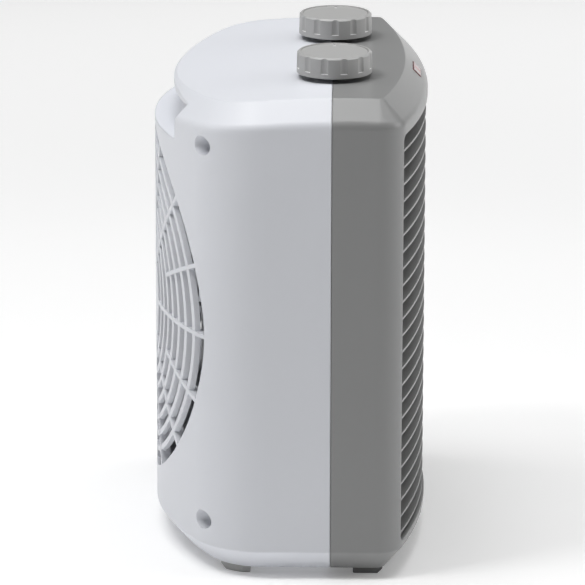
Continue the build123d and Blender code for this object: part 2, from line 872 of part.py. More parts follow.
def make_motor_coil():
    """Bobbin with two flanges and the winding between them, round the lower limb."""
    limb_top = fan_z - stack_below + limb_height
    limb_low = fan_z - stack_below
    build = coil_build - coil_flange_lip
    width = coil_half_width

    def wrap(x_from, x_to, grow):
        return block(
            x_from, x_to, stack_front_y - grow, stack_rear_y + grow, limb_low - grow, limb_top + grow
        )

    coil = wrap(-width, width, build)
    coil = fillet(coil.edges().filter_by(Axis.X), build / 2)
    for side in (-1, 1):
        low, high = sorted((side * width, side * (width - coil_flange)))
        coil += wrap(low, high, coil_build)
    return coil - wrap(-far, far, coil_gap)


def make_motor_bracket(seat_y, direction):
    """A pressed bridge with a bearing hub, standing off the stack."""
    half = stack_half_width
    foot = half - bracket_foot
    crest = foot - bracket_rise
    thick = direction * bracket_thickness
    rise = direction * bracket_rise
    profile = Polyline(
        (-half, seat_y), (-foot, seat_y), (-crest, seat_y + rise), (crest, seat_y + rise),
        (foot, seat_y), (half, seat_y), (half, seat_y + thick), (foot + 1, seat_y + thick),
        (crest + 1, seat_y + rise + thick), (-crest - 1, seat_y + rise + thick),
        (-foot - 1, seat_y + thick), (-half, seat_y + thick), close=True,
    )
    bracket = extrude(Pos(0, 0, fan_z - bracket_height / 2) * make_face(profile), bracket_height)
    hub_from = seat_y + rise
    hub_to = hub_from + direction * bearing_length
    low, high = sorted((hub_from, hub_to))
    bracket += along_y(0, fan_z, low, high, bearing_hub_diameter)
    bracket -= along_y(0, fan_z, low, high, bearing_diameter + 2 * screw_gap)
    for x in (-motor_bolt_x, motor_bolt_x):
        bracket -= along_y(x, fan_z, -far, far, motor_bolt_diameter + 2 * motor_bolt_clearance)
    return bracket


def make_motor_bearings():
    """Two plain bushes in the brackets' hubs."""
    bushes = []
    for seat_y, direction in ((stack_rear_y, 1), (stack_front_y, -1)):
        hub_from = seat_y + direction * bracket_rise
        low, high = sorted((hub_from, hub_from + direction * bearing_length))
        bush = along_y(0, fan_z, low, high, bearing_diameter)
        bushes.append(bush - along_y(0, fan_z, low, high, shaft_diameter + 2 * turning_gap))
    return Compound(children=bushes)


def make_motor_bolts():
    """Bolts through both brackets, the stack and the deck's carrier."""
    seat_y = stack_front_y - bracket_thickness
    length = deck_y + carrier_thickness + motor_nut_height - seat_y
    return Compound(children=[
        screw_along_y(
            x, fan_z, seat_y, 1, motor_bolt_diameter, length, motor_bolt_head, motor_bolt_head_height
        )
        for x in (-motor_bolt_x, motor_bolt_x)
    ])


def make_motor_nuts():
    nuts = []
    for x in (-motor_bolt_x, motor_bolt_x):
        hexagon = RegularPolygon(motor_nut_width / 2, 6, major_radius=False)
        nut = hexagon - Circle(motor_bolt_diameter / 2 + screw_gap)
        seat = Plane((x, deck_y + carrier_thickness, fan_z), x_dir=(1, 0, 0), z_dir=(0, 1, 0))
        nuts.append(extrude(seat * nut, motor_nut_height))
    return Compound(children=nuts)


def make_baffle_plate():
    """Dark steel plate behind the louvre, with a window for the element."""
    half = body_width / 2 - wall - baffle_edge_gap
    low = louvre_low_z
    high = louvre_high_z
    plate = RectangleRounded(2 * half, high - low, baffle_corner)
    face = Plane((0, baffle_front_y, (low + high) / 2), x_dir=(1, 0, 0), z_dir=(0, 1, 0))
    plate = extrude(face * plate, baffle_thickness)
    plate &= casing_form(wall + seat_gap)
    plate -= block(
        -element_half_width, element_half_width, -far, far,
        fan_z - element_half_height, fan_z + element_half_height,
    )
    for x in (-screw_x, screw_x):
        for z in screw_heights:
            plate -= along_y(x, z, -far, far, frame_screw_shank + 2 * screw_gap)
    for x, z in frame_screw_places():
        plate -= along_y(x, z, -far, far, frame_screw_shank + 2 * screw_gap)
    return plate


def make_element_frame():
    """Heat-proof frame round the element, with a front lip and terminal slots."""
    half_x = element_half_width + frame_border
    half_z = element_half_height + frame_border
    rear_y = baffle_rear_y + frame_depth
    frame = block(-half_x, half_x, baffle_rear_y, rear_y, fan_z - half_z, fan_z + half_z)
    frame -= block(
        -element_half_width, element_half_width, baffle_rear_y + frame_lip, rear_y,
        fan_z - element_half_height, fan_z + element_half_height,
    )
    inner_x = element_half_width - frame_lip
    inner_z = element_half_height - frame_lip
    frame -= block(-inner_x, inner_x, baffle_rear_y, rear_y, fan_z - inner_z, fan_z + inner_z)
    for z in terminal_heights():
        frame -= terminal_block_form(z, seat_gap)
    for x, z in frame_screw_places():
        depth = baffle_rear_y + frame_screw_length
        frame -= along_y(x, z, baffle_rear_y, depth, frame_screw_shank + 2 * screw_gap)
    return frame


def element_y():
    """Front and rear of the heating element inside its frame."""
    front = baffle_rear_y + frame_lip + seat_gap
    return front, front + element_depth


def row_height():
    """Height of one row of fins."""
    space = 2 * (element_half_height - seat_gap) - (fin_rows - 1) * bar_height
    return space / fin_rows


def row_base(index):
    return fan_z - element_half_height + seat_gap + index * (row_height() + bar_height)


def make_heat_fins():
    """Rows of folded aluminium strip, one zigzag profile for each row."""
    front, rear = element_y()
    half = element_half_width - seat_gap
    waves = int(2 * half / fin_pitch)
    rows = []
    for index in range(fin_rows):
        low = row_base(index)
        crest = low + row_height() - fin_strip
        under = []
        for step in range(2 * waves + 1):
            x = -half + step * half / waves
            under.append((x, crest if step % 2 else low))
        over = [(x, z + fin_strip) for x, z in reversed(under)]
        face = Plane((0, front, 0), x_dir=(1, 0, 0), z_dir=(0, -1, 0)) * make_face(
            Polyline(*under, *over, close=True)
        )
        rows.append(extrude(face, -(rear - front)))
    return Compound(children=rows)


def bar_heights():
    return [row_base(index) + row_height() for index in range(fin_rows - 1)]


def make_ceramic_bars():
    """The ceramic heating bars between the rows of fins."""
    front, rear = element_y()
    half = element_half_width - seat_gap
    bars = []
    for low in bar_heights():
        bar = block(-half, half, front, rear, low, low + bar_height)
        bars.append(fillet(bar.edges().filter_by(Axis.X), bar_height / 4))
    return Compound(children=bars)


def terminal_heights():
    heights = bar_heights()
    return [heights[0], heights[len(heights) // 2], heights[-1]]


def terminal_block_form(z, grow):
    """Room for one terminal tab through the side of the frame."""
    middle_z = z + bar_height / 2
    middle_y = sum(element_y()) / 2
    start = element_half_width - seat_gap
    end = element_half_width + frame_border + terminal_reach
    return block(
        start, end, middle_y - terminal_width / 2 - grow, middle_y + terminal_width / 2 + grow,
        middle_z - terminal_thickness / 2 - grow, middle_z + terminal_thickness / 2 + grow,
    )


def make_element_terminals():
    return Compound(children=[terminal_block_form(z, 0) for z in terminal_heights()])


def make_thermal_cutout():
    """A round bimetal cut-out on its flange, on top of the element's frame."""
    seat = fan_z + element_half_height + frame_border
    reach = cutout_diameter
    cutout = block(
        -reach, reach, cutout_y - reach / 3, cutout_y + reach / 3, seat, seat + terminal_thickness
    )
    cutout += upright(0, cutout_y, seat, seat + cutout_height, cutout_diameter)
    for side in (-1, 1):
        x = side * cutout_diameter / 2
        low, high = sorted((x - side, x + side * terminal_width))
        z = seat + cutout_height / 2
        cutout += block(
            low, high, cutout_y - terminal_width / 2, cutout_y + terminal_width / 2,
            z, z + terminal_thickness,
        )
    return cutout


def make_pilot_lens():
    """A clear lens flush in the bevel, with an inner flange and a socket for the lamp."""
    plane = bevel_plane()
    inner_face = -wall - lens_gap
    lens = Pos(0, 0, inner_face) * Rectangle(lens_width, lens_height)
    lens = extrude(lens, lens_proud - inner_face)
    lens = fillet(lens.edges().filter_by(Axis.Z), lens_flange / 2)
    lens = chamfer(lens.faces().sort_by(Axis.Z)[-1].edges(), lens_proud)
    flange = Rectangle(lens_width + 2 * lens_flange_lip, lens_height + 2 * lens_flange_lip)
    lens += extrude(Pos(0, 0, inner_face - lens_flange) * flange, lens_flange)
    socket = Circle(lamp_diameter / 2 + lens_flange) - Circle(lamp_diameter / 2 + screw_gap)
    lens += extrude(Pos(0, 0, inner_face - lens_flange - lamp_socket) * socket, lamp_socket)
    return plane * lens


def make_pilot_lamp():
    """Neon lamp pushed into the lens's socket."""
    top = -wall - lens_gap - lens_flange - seat_gap
    lamp = Cylinder(lamp_diameter / 2, lamp_length, align=(Align.CENTER, Align.CENTER, Align.MAX))
    lamp = chamfer(lamp.faces().sort_by(Axis.Z)[-1].edges(), lamp_diameter / 5)
    return bevel_plane() * Pos(0, 0, top) * lamp


def make_feet(y):
    """The two feet at one end, trimmed to the base and fixed by studs."""
    base = extrude(plan_outline(base_bevel_width + seat_gap), foot_height)
    end = -1 if y < 0 else 1
    half = foot_length / 2
    section = Plane.YZ * make_face(Polyline(
        (y - end * half, 0), (y + end * (half - foot_nose), 0), (y + end * half, foot_nose),
        (y + end * half, foot_height), (y - end * half, foot_height), close=True,
    ))
    feet = []
    for side in (-1, 1):
        middle_x = side * (foot_x - foot_width / 2)
        foot = Pos(middle_x, 0, 0) * extrude(section, foot_width / 2, both=True)
        square_end = foot.edges().filter_by(Axis.Z).sort_by(Axis.Y)
        foot = fillet(square_end[:2] if end > 0 else square_end[-2:], foot_corner)
        foot = foot & base
        foot += upright(middle_x, y, foot_height - 1, foot_height + foot_stud_length, foot_stud)
        feet.append(foot)
    return Compound(children=feet)


def make_cord_bush():
    """Grooved bush that grips the rear wall; the cord would pass through its bore."""
    seat_y = bush_seat_y()
    bush = along_y(bush_x, bush_z, seat_y, seat_y + bush_flange_height, bush_flange)
    inner_y = seat_y - bush_seat
    bush += along_y(bush_x, bush_z, inner_y, seat_y, bush_neck)
    bush += along_y(bush_x, bush_z, inner_y - bush_flange_height, inner_y, bush_flange)
    return bush - along_y(bush_x, bush_z, 0, far, bush_bore)


def make_cord_clamp():
    """Saddle on two posts behind the bush."""
    low = inner_base + clamp_post_height
    half = clamp_span / 2 + clamp_post_diameter / 2
    clamp = block(
        bush_x - half, bush_x + half, clamp_y - clamp_width / 2, clamp_y + clamp_width / 2,
        low, low + clamp_height,
    )
    clamp = fillet(clamp.edges().filter_by(Axis.Z), clamp_width / 4)
    clamp -= along_y(bush_x, low, 0, far, bush_bore)
    for side in (-1, 1):
        x = bush_x + side * clamp_span / 2
        clamp -= upright(x, clamp_y, 0, far, deck_screw_shank + 2 * screw_gap)
    return clamp


def make_clamp_screws():
    screws = []
    for side in (-1, 1):
        x = bush_x + side * clamp_span / 2
        seat = inner_base + clamp_post_height + clamp_height
        screw = upright(x, clamp_y, seat - clamp_screw_length, seat, deck_screw_shank)
        screws.append(screw + upright(x, clamp_y, seat, seat + screw_head_height, frame_screw_head))
    return Compound(children=screws)


def make_terminal_block():
    """Three-way block on the floor of the rear shell."""
    half = block_length / 2
    body = block(
        block_x - half, block_x + half, block_y - block_width / 2, block_y + block_width / 2,
        inner_base, inner_base + block_height,
    )
    pole = block_length / 3
    for index in (-1, 0, 1):
        x = block_x + index * pole
        z = inner_base + block_height / 2
        body -= along_y(x, z, -far, far, block_hole)
        body -= upright(x, block_y, z, far, block_hole)
    slot_floor = inner_base + block_height - block_slot_depth
    for index in (-0.5, 0.5):
        x = block_x + index * pole
        body -= block(x - block_slot / 2, x + block_slot / 2, -far, far, slot_floor, far)
    return body


def build():
    os.makedirs("parts", exist_ok=True)
    outer = soften_top_bevel(casing_form(0))
    inner = casing_form(wall)
    save(make_rear_shell(outer, inner), "rear_shell")
    save(make_front_shell(outer, inner), "front_shell")
    save(make_front_grille(), "front_grille")
    save(make_knob(-1, 0.5), "selector_knob")
    save(make_knob(1, 0), "thermostat_knob")
    save(make_spindle(-1), "selector_spindle")
    save(make_spindle(1), "thermostat_spindle")
    save(make_control_body(-1, control_body_height, 4), "selector_switch")
    save(make_control_body(1, control_body_height + 3, 2), "thermostat")
    save(make_control_plate(), "control_plate")
    save(make_spindle_nuts(), "spindle_nuts")
    save(make_control_screws(), "control_screws")
    save(make_case_screws(), "case_screws")
    save(make_deck_screws(), "deck_screws")
    save(make_baffle_screws(), "baffle_screws")
    save(make_frame_screws(), "frame_screws")
    save(make_fan_deck(), "fan_deck")
    save(make_fan_impeller(), "fan_impeller")
    save(make_motor_shaft(), "motor_shaft")
    save(make_motor_rotor(), "motor_rotor")
    save(make_motor_stack(), "motor_stack")
    save(make_motor_coil(), "motor_coil")
    save(make_motor_bracket(stack_rear_y, 1), "rear_bearing_bracket")
    save(make_motor_bracket(stack_front_y, -1), "front_bearing_bracket")
    save(make_motor_bearings(), "motor_bearings")
    save(make_motor_bolts(), "motor_bolts")
    save(make_motor_nuts(), "motor_nuts")
    save(make_baffle_plate(), "baffle_plate")
    save(make_element_frame(), "element_frame")
    save(make_heat_fins(), "heat_fins")
    save(make_ceramic_bars(), "ceramic_bars")
    save(make_element_terminals(), "element_terminals")
    save(make_thermal_cutout(), "thermal_cutout")
    save(make_pilot_lens(), "pilot_lens")
    save(make_pilot_lamp(), "pilot_lamp")
    save(make_feet(rear_foot_y), "rear_feet")
    save(make_feet(front_foot_y), "front_feet")
    save(make_cord_bush(), "cord_bush")
    save(make_cord_clamp(), "cord_clamp")
    save(make_clamp_screws(), "clamp_screws")
    save(make_terminal_block(), "terminal_block")


build()
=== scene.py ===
import bmesh
import bpy
from mathutils import Matrix, Vector


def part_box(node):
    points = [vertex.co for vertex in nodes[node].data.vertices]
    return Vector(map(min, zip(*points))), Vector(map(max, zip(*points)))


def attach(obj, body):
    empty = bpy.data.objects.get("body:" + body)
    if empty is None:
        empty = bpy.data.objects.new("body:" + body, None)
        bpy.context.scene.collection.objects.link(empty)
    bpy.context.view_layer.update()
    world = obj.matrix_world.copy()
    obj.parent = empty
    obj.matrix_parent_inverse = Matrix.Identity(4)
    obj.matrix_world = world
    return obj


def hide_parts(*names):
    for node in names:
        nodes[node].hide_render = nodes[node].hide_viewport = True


# A small upright fan heater: light rear shell, grey front, two knobs on top.
# Sizes in the dictionaries are millimetres unless a note says otherwise.

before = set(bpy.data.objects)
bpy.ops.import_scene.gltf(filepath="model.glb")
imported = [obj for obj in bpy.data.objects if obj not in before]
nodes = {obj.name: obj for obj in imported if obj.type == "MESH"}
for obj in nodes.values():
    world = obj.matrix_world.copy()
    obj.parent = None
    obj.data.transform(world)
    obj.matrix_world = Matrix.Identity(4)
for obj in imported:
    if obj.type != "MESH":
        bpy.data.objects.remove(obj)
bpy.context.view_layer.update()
mm = 0.001
perMetre = 1000.0
edgeSamples = 6
print("frame loaded:", len(nodes), "nodes")


class Sock:
    # wraps a shader socket, so that material maths reads as plain sums
    def __init__(self, tree, socket=None):
        self.tree = tree
        self.socket = socket

    def make(self, kind, settings=None, sockets=None, out=0):
        node = self.tree.nodes.new("ShaderNode" + kind)
        for name, value in (settings or {}).items():
            setattr(node, name, value)
        for name, value in (sockets or {}).items():
            if isinstance(value, Sock):
                self.tree.links.new(value.socket, node.inputs[name])
            else:
                node.inputs[name].default_value = value
        return Sock(self.tree, node.outputs[out])

    def math(self, operation, first, second=0.0):
        return self.make("Math", {"operation": operation}, {0: first, 1: second})

    def vectorMath(self, operation, first, second=None, out=0):
        values = {0: first} if second is None else {0: first, 1: second}
        return self.make("VectorMath", {"operation": operation}, values, out)

    def axis(self, index):
        return self.make("SeparateXYZ", {}, {0: self}, out=index)

    def __add__(self, other):
        return self.math("ADD", self, other)

    def __sub__(self, other):
        return self.math("SUBTRACT", self, other)

    def __rsub__(self, other):
        return self.math("SUBTRACT", other, self)

    def __mul__(self, other):
        return self.math("MULTIPLY", self, other)

    def __pow__(self, other):
        return self.math("POWER", self, other)


def mixColours(factor, first, second):
    return factor.make("Mix", {"data_type": "RGBA"}, {0: factor, 6: first, 7: second}, out=2)


def startMaterial(name, fixed):
    # a fresh material with its shader's constant sockets set
    material = bpy.data.materials.new(name)
    material.use_nodes = True
    tree = material.node_tree
    shader = tree.nodes["Principled BSDF"]
    for socket, value in fixed.items():
        shader.inputs[socket].default_value = value
    start = Sock(tree)
    place = start.make("TexCoord", out=3)  # object coordinates
    return material, shader, start, place


def feed(shader, socket, value):
    value.tree.links.new(value.socket, shader.inputs[socket])


def noise(place, size, detail=2.0, rough=0.5):
    # size is the grain in millimetres
    sockets = {"Vector": place, "Scale": perMetre / size, "Detail": detail, "Roughness": rough}
    return place.make("TexNoise", {"noise_dimensions": "3D"}, sockets)


def softEdge(start, radius):
    return start.make("Bevel", {"samples": edgeSamples}, {"Radius": radius * mm})


def bump(start, height, depth, normal=None):
    sockets = {"Height": height, "Distance": depth * mm, "Strength": 1.0}
    if normal is not None:
        sockets["Normal"] = normal
    return start.make("Bump", {}, sockets)


def within(place, low, high):
    # one inside a box given in millimetres, None leaves a side open
    mask = None
    for index, (least, most) in enumerate(zip(low, high)):
        for limit, operation in ((least, "GREATER_THAN"), (most, "LESS_THAN")):
            if limit is not None:
                side = place.math(operation, place.axis(index), limit * mm)
                mask = side if mask is None else mask * side
    return mask


def fromPoint(place, point):
    # vector from a point given in millimetres
    return place.vectorMath("SUBTRACT", place, tuple(value * mm for value in point))


def distance(place, centre, axes):
    # millimetres from a point, along the axes set to one
    kept = place.vectorMath("MULTIPLY", fromPoint(place, centre), axes)
    return place.vectorMath("LENGTH", kept, out=1) * perMetre


def mixNormals(factor, first, second):
    return factor.make("Mix", {"data_type": "VECTOR"}, {0: factor, 4: first, 5: second}, out=1)


def shade(colour, amount):
    return tuple(min(1.0, c * amount) for c in colour[:3]) + (1.0,)


plasticSurface = {"Coat Roughness": 0.25, "IOR": 1.5}


def mouldedPlastic(name, look):
    # spark-eroded plastic: fine grain, faint flow mottling, softened edges
    material, shader, start, place = startMaterial(name, dict(plasticSurface, **{
        "Roughness": look["roughness"],
        "Coat Weight": look.get("coat", 0.0),
    }))
    mottle = noise(place, look["mottle"], 3.0)
    colour = mixColours(mottle, shade(look["colour"], 1 - look["vary"]),
                        shade(look["colour"], 1 + look["vary"]))
    # painted zones: on the knobs a painted highlight, painted shade and the pointer's paint
    for zone, tint in look.get("paint", []):
        colour = mixColours(zone(place), colour, tint + (1.0,))
    feed(shader, "Base Color", colour)
    grain = noise(place, look["grain"], 2.0, 0.6)
    feed(shader, "Roughness", grain * look["sheen"] + (look["roughness"] - look["sheen"] / 2))
    edge = softEdge(start, look["edge"])
    if "fineZone" in look:
        edge = mixNormals(look["fineZone"](place), edge, softEdge(start, look["fineEdge"]))
    feed(shader, "Normal", bump(start, grain, look["depth"], edge))
    return material


metalWear = {"cloud": 9.0, "dark": 0.82, "light": 1.08, "streak": 0.3, "polish": 0.12, "edge": 0.2}


def plainMetal(name, look):
    # drawn or ground metal with fine scratches along one axis
    material, shader, start, place = startMaterial(name, {
        "Metallic": 1.0,
        "Roughness": look["roughness"],
    })
    stretch = place.make("Mapping", {}, {"Vector": place, "Scale": look["stretch"]})
    streak = noise(stretch, look["grain"], 4.0, 0.6)
    cloud = noise(place, metalWear["cloud"])
    colour = mixColours(cloud, shade(look["colour"], metalWear["dark"]),
                        shade(look["colour"], metalWear["light"]))
    feed(shader, "Base Color", colour)
    feed(shader, "Roughness", streak * metalWear["streak"] + (look["roughness"] - metalWear["polish"]))
    edge = softEdge(start, metalWear["edge"])
    feed(shader, "Normal", bump(start, streak, look["depth"], edge))
    return material


intake = {"middle": (0.0, 0.0, 123.3), "reach": 95.0, "depth": 30.0}
recess = {"across": 91.0, "heights": (27.0, 221.8), "reach": 6.5}


def intakeZone(place):
    # the round intake grille and the four screw recesses in the rear shell
    facing = (1.0, 0.0, 1.0)
    disc = place.math("LESS_THAN", distance(place, intake["middle"], facing), intake["reach"])
    fine = within(place, (None, intake["depth"], None), (None, None, None)) * disc
    for side in (-1, 1):
        for height in recess["heights"]:
            ring = distance(place, (side * recess["across"], 0.0, height), facing)
            fine = place.math("MAXIMUM", fine, place.math("LESS_THAN", ring, recess["reach"]))
    return fine


knobPaintedLightAndMarks = {
    "across": 45.25, "along": -22.3,   # where a knob's axis stands
    # the ledge tint is a painted highlight and the rim tint is painted shade
    "ledgeHeights": (251.59, 251.85), "ledgeReach": 18.9, "ledgeHighlightTint": (0.92, 0.92, 0.92),
    "rimReach": (16.6, 17.15), "rimHeight": 259.0, "rimShadeTint": (0.29, 0.29, 0.285),
    "pointerReach": (11.0, 16.6), "pointerHalf": 0.7, "pointerHeights": (258.9, 259.4),
    "pointerTint": (0.62, 0.62, 0.62),
}


def knobPaintedLightAndPointer(side):
    # painted highlight, painted shade and pointer paint on the knob on one side, each with the zone it
    # covers
    middle, along = knobPaintedLightAndMarks["across"] * side, knobPaintedLightAndMarks["along"]

    def fromAxis(place):
        return distance(place, (middle, along, 0.0), (1.0, 1.0, 0.0))

    def ledges(place):
        # painted highlight on the ledges under the flutes, where the moulding catches the light
        low, high = knobPaintedLightAndMarks["ledgeHeights"]
        band = within(place, (None, None, low), (None, None, high))
        return band * place.math("LESS_THAN", fromAxis(place), knobPaintedLightAndMarks["ledgeReach"])

    def rim(place):
        # painted shade: a fine dark line where the raised rim meets the dished top
        inner, outer = knobPaintedLightAndMarks["rimReach"]
        ring = fromAxis(place)
        line = place.math("GREATER_THAN", ring, inner) * place.math("LESS_THAN", ring, outer)
        return line * within(place, (None, None, knobPaintedLightAndMarks["rimHeight"]), (None, None, None))

    def pointer(place):
        # floor of the pointer groove
        near, far = knobPaintedLightAndMarks["pointerReach"]
        low, high = knobPaintedLightAndMarks["pointerHeights"]
        half = knobPaintedLightAndMarks["pointerHalf"]
        return within(place, (middle + near, along - half, low), (middle + far, along + half, high))

    return [(ledges, knobPaintedLightAndMarks["ledgeHighlightTint"]), (rim, knobPaintedLightAndMarks["rimShadeTint"]),
            (pointer, knobPaintedLightAndMarks["pointerTint"])]


casingLook = {"colour": (0.752, 0.768, 0.812), "roughness": 0.42, "coat": 0.0, "mottle": 60.0,
              "vary": 0.012, "grain": 0.45, "sheen": 0.08, "edge": 1.2, "depth": 0.012,
              "fineZone": intakeZone, "fineEdge": 0.3}
frontLook = {"colour": (0.258, 0.260, 0.259), "roughness": 0.45, "coat": 0.4, "mottle": 50.0,
             "vary": 0.02, "grain": 0.4, "sheen": 0.10, "edge": 1.6, "depth": 0.016}
grilleLook = dict(frontLook, edge=0.28)
knobLook = {"colour": (0.430, 0.430, 0.426), "roughness": 0.40, "mottle": 30.0,
            "vary": 0.02, "grain": 0.35, "sheen": 0.08, "edge": 0.22, "depth": 0.012}
blackLook = {"colour": (0.03, 0.03, 0.031), "roughness": 0.45, "mottle": 40.0,
             "vary": 0.15, "grain": 0.5, "sheen": 0.12, "edge": 0.4, "depth": 0.02}
fanLook = dict(blackLook, colour=(0.055, 0.056, 0.058), roughness=0.38)
deckLook = dict(blackLook, colour=(0.66, 0.665, 0.67), vary=0.03)
footLightLook = {"colour": (0.50, 0.50, 0.49), "roughness": 0.7, "mottle": 12.0,
                 "vary": 0.06, "grain": 0.5, "sheen": 0.1, "edge": 0.5, "depth": 0.03}
footDarkLook = dict(footLightLook, colour=(0.17, 0.17, 0.17))
frameLook = {"colour": (0.09, 0.075, 0.06), "roughness": 0.65, "mottle": 8.0,
             "vary": 0.25, "grain": 0.7, "sheen": 0.15, "edge": 0.4, "depth": 0.05}
ceramicLook = {"colour": (0.66, 0.62, 0.54), "roughness": 0.75, "mottle": 6.0,
               "vary": 0.10, "grain": 0.3, "sheen": 0.1, "edge": 0.3, "depth": 0.03}
creamLook = {"colour": (0.62, 0.61, 0.56), "roughness": 0.4, "mottle": 20.0,
             "vary": 0.04, "grain": 0.5, "sheen": 0.1, "edge": 0.4, "depth": 0.01}
steelLook = {"colour": (0.62, 0.63, 0.65), "roughness": 0.34, "grain": 1.2,
             "stretch": (1.0, 0.12, 1.0), "depth": 0.01}
shaftLook = dict(steelLook, roughness=0.22, colour=(0.70, 0.70, 0.71))
bronzeLook = dict(steelLook, colour=(0.60, 0.42, 0.20), roughness=0.45)
tabLook = dict(steelLook, colour=(0.75, 0.66, 0.42), roughness=0.3)
finLook = dict(steelLook, colour=(0.80, 0.80, 0.81), roughness=0.3, stretch=(1.0, 1.0, 0.2))
driveLook = dict(steelLook, colour=(0.10, 0.10, 0.105), roughness=0.5)
lampLook = {"colour": (0.75, 0.55, 0.42), "roughness": 0.15, "mottle": 5.0,
            "vary": 0.1, "grain": 1.0, "sheen": 0.05, "edge": 0.2, "depth": 0.0}

casingPlastic = mouldedPlastic("casingPlastic", casingLook)
frontPlastic = mouldedPlastic("frontPlastic", frontLook)
grillePlastic = mouldedPlastic("grillePlastic", grilleLook)
selectorPlastic = mouldedPlastic("selectorPlastic", dict(knobLook, paint=knobPaintedLightAndPointer(-1)))
thermostatPlastic = mouldedPlastic("thermostatPlastic", dict(knobLook, paint=knobPaintedLightAndPointer(1)))
blackPlastic = mouldedPlastic("blackPlastic", blackLook)
fanPlastic = mouldedPlastic("fanPlastic", fanLook)
deckPlastic = mouldedPlastic("deckPlastic", deckLook)
footLight = mouldedPlastic("footLight", footLightLook)
footDark = mouldedPlastic("footDark", footDarkLook)
frameMoulding = mouldedPlastic("frameMoulding", frameLook)
ceramicBody = mouldedPlastic("ceramicBody", ceramicLook)
creamPlastic = mouldedPlastic("creamPlastic", creamLook)
zincSteel = plainMetal("zincSteel", steelLook)
groundSteel = plainMetal("groundSteel", shaftLook)
bearingBronze = plainMetal("bearingBronze", bronzeLook)
platedTab = plainMetal("platedTab", tabLook)
finAluminium = plainMetal("finAluminium", finLook)
driveShade = plainMetal("driveShade", driveLook)
lampGlass = mouldedPlastic("lampGlass", lampLook)


sheetLook = {"colour": (0.022, 0.022, 0.023), "roughness": 0.5, "dust": 14.0, "sparse": 3.0,
             "dusty": 1.9, "peel": 1.6, "depth": 0.02}


def paintedSheet(name, look):
    # stoved black paint on sheet steel, with orange peel and a little dust
    material, shader, start, place = startMaterial(name, {"Roughness": look["roughness"]})
    dust = noise(place, look["dust"], 4.0, 0.6)
    clean, dusty = shade(look["colour"], 1.0), shade(look["colour"], look["dusty"])
    feed(shader, "Base Color", mixColours(dust ** look["sparse"], clean, dusty))
    feed(shader, "Normal", bump(start, noise(place, look["peel"]), look["depth"]))
    return material


coreLook = {"sheet": 0.6, "share": 0.8, "depth": 0.06,
            "steel": (0.30, 0.30, 0.32, 1.0), "gap": (0.10, 0.09, 0.09, 1.0)}


def laminatedCore(name, look):
    # stacked sheets seen on edge as fine lines along the core's depth
    material, shader, start, place = startMaterial(name, {"Metallic": 0.8, "Roughness": 0.45})
    layer = start.math("FRACT", place.axis(1) * (perMetre / look["sheet"]))
    gap = start.math("GREATER_THAN", layer, look["share"])
    feed(shader, "Base Color", mixColours(gap, look["steel"], look["gap"]))
    feed(shader, "Normal", bump(start, 1.0 - gap, look["depth"]))
    return material


windingLook = {"wire": 0.5, "depth": 0.12,
               "valleyShade": (0.12, 0.04, 0.015, 1.0), "crown": (0.55, 0.22, 0.07, 1.0)}


def windingCopper(name, look):
    # enamelled wire: fine turns side by side along X, darkened by painted shade where the turns meet
    material, shader, start, place = startMaterial(name, {"Metallic": 0.7, "Roughness": 0.35})
    turn = start.math("FRACT", place.axis(0) * (perMetre / look["wire"]))
    crown = 1.0 - start.math("ABSOLUTE", turn * 2.0 - 1.0)
    # painted shade: the colour darkens where neighbouring turns meet
    feed(shader, "Base Color", mixColours(crown, look["valleyShade"], look["crown"]))
    feed(shader, "Normal", bump(start, crown, look["depth"]))
    return material


pilotLook = {
    "middle": (0.0, -64.4, 240.2), "slope": (0.0, 0.7009, 0.7132),   # up the bevel
    # edge is the colour of the painted shade along the rim, glow the colour of the painted glow
    "half": (9.25, 2.9), "rim": 0.7, "rimFade": (-0.2, 0.4), "edge": (0.16, 0.045, 0.045, 1.0),
    "face": (0.36, 0.30, 0.305, 1.0), "cloud": 3.0, "vary": 0.06, "depth": 0.01, "softness": 0.2,
    "glow": (0.42, 0.16, 0.14, 1.0), "glowReach": (4.5, 0.5), "glowMost": 0.8,
}


def tintedLens(name, look):
    # pale cloudy lens, with a painted glow over its lamp and painted shade along its rim
    material, shader, start, place = startMaterial(name, {
        "Roughness": 0.25, "IOR": 1.49, "Coat Weight": 0.3,
    })
    along = start.math("ABSOLUTE", place.axis(0)) * perMetre
    rise = place.vectorMath("DOT_PRODUCT", fromPoint(place, look["middle"]), look["slope"], out=1)
    up = start.math("ABSOLUTE", rise) * perMetre
    # painted shade along the rim
    rim = start.math("MAXIMUM", along - (look["half"][0] - look["rim"]),
                     up - (look["half"][1] - look["rim"]))
    fadeStart, fadeEnd = look["rimFade"]
    rimShadeMask = start.make("MapRange", {}, {0: rim, 1: fadeStart, 2: fadeEnd})
    glowEnd, glowStart = look["glowReach"]
    lampMask = start.make("MapRange", {},
                          {0: along, 1: glowEnd, 2: glowStart, 3: 0.0, 4: look["glowMost"]})
    cloud = noise(place, look["cloud"])
    face = mixColours(cloud, shade(look["face"], 1 - look["vary"]),
                      shade(look["face"], 1 + look["vary"]))
    # painted glow over the lamp
    face = mixColours(lampMask, face, look["glow"])
    feed(shader, "Base Color", mixColours(rimShadeMask, face, look["edge"]))
    feed(shader, "Normal", bump(start, cloud, look["depth"], softEdge(start, look["softness"])))
    return material


darkSheet = paintedSheet("darkSheet", sheetLook)
coreSteel = laminatedCore("coreSteel", coreLook)
copperWinding = windingCopper("copperWinding", windingLook)
lensRed = tintedLens("lensRed", pilotLook)
print("materials made")

